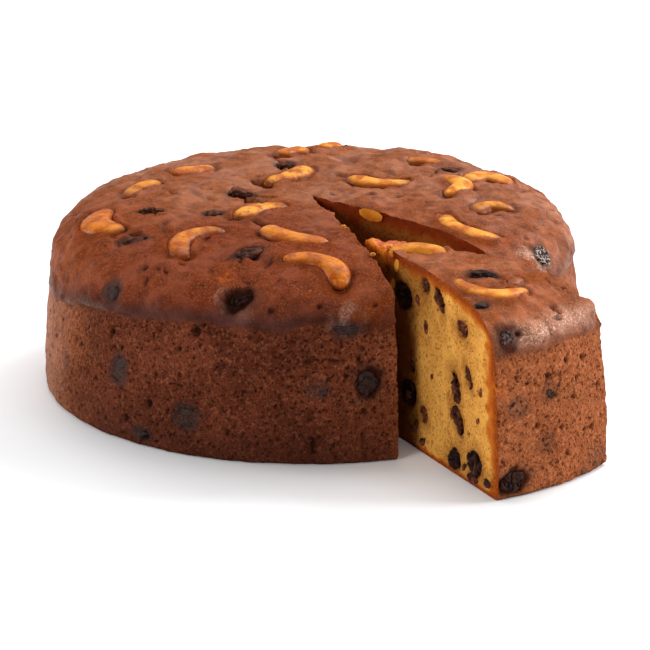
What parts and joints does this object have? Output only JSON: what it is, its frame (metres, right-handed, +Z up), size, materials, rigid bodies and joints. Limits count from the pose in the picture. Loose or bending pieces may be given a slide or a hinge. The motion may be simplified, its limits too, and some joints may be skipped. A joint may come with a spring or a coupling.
{
  "type": "fruit cake",
  "caption": "Round fruit cake topped with cashews and raisins, with one wedge cut and drawn half out of its notch, showing the fruited crumb.",
  "frame": {"origin": "centre of the round base of the cake, on the surface it stands on", "axes": "+Z up, -Y the front, the side towards which the wedge is drawn out, X level across the cake"},
  "size_m": [0.2035, 0.2373, 0.0719],
  "materials": {
    "crust": "satin",
    "crumb": "matte",
    "cashew": "semi-gloss",
    "raisin": "semi-gloss"
  },
  "bodies": {
    "root": {"cake": "crust", "cashew_buried": "cashew", "cashew_centre": "cashew", "cashew_centre_rear": "cashew", "cashew_far_edge": "cashew", "cashew_far_edge_left": "cashew", "cashew_front": "cashew", "cashew_front_centre": "cashew", "cashew_front_left": "cashew", "cashew_halved_cake": "cashew", "cashew_halved_wedge": "cashew", "cashew_left_far": "cashew", "cashew_left_rear": "cashew", "cashew_left_slope": "cashew", "cashew_right_centre": "cashew", "cashew_right_edge": "cashew", "cashew_right_far": "cashew", "cashew_right_front": "cashew", "cashew_right_hook": "cashew", "cashew_right_slope": "cashew", "cashew_wedge": "cashew", "cashew_wedge_tip": "cashew", "raisin_cut_base_inner": "raisin", "raisin_cut_base_outer": "raisin", "raisin_cut_inner_high": "raisin", "raisin_cut_inner_low": "raisin", "raisin_cut_inner_middle": "raisin", "raisin_cut_long": "raisin", "raisin_cut_low": "raisin", "raisin_cut_middle": "raisin", "raisin_cut_middle_small": "raisin", "raisin_cut_red": "raisin", "raisin_cut_under_crust": "raisin", "raisin_rim_patch": "raisin", "raisin_shoulder_left": "raisin", "raisin_shoulder_right": "raisin", "raisin_side_foot": "raisin", "raisin_side_front": "raisin", "raisin_side_left": "raisin", "raisin_side_middle": "raisin", "raisin_side_right": "raisin", "raisin_top_centre": "raisin", "raisin_top_crack": "raisin", "raisin_top_front": "raisin", "raisin_top_left": "raisin", "raisin_top_left_slit": "raisin", "raisin_top_rear": "raisin", "raisin_top_right": "raisin", "raisin_torn_crust": "raisin", "raisin_wedge_foot": "raisin", "raisin_wedge_front": "raisin", "raisin_wedge_rim": "raisin", "raisin_wedge_side_lower": "raisin", "raisin_wedge_side_middle": "raisin", "raisin_wedge_side_upper": "raisin", "raisin_wedge_top": "raisin", "wedge": "crumb"}
  },
  "joints": []
}
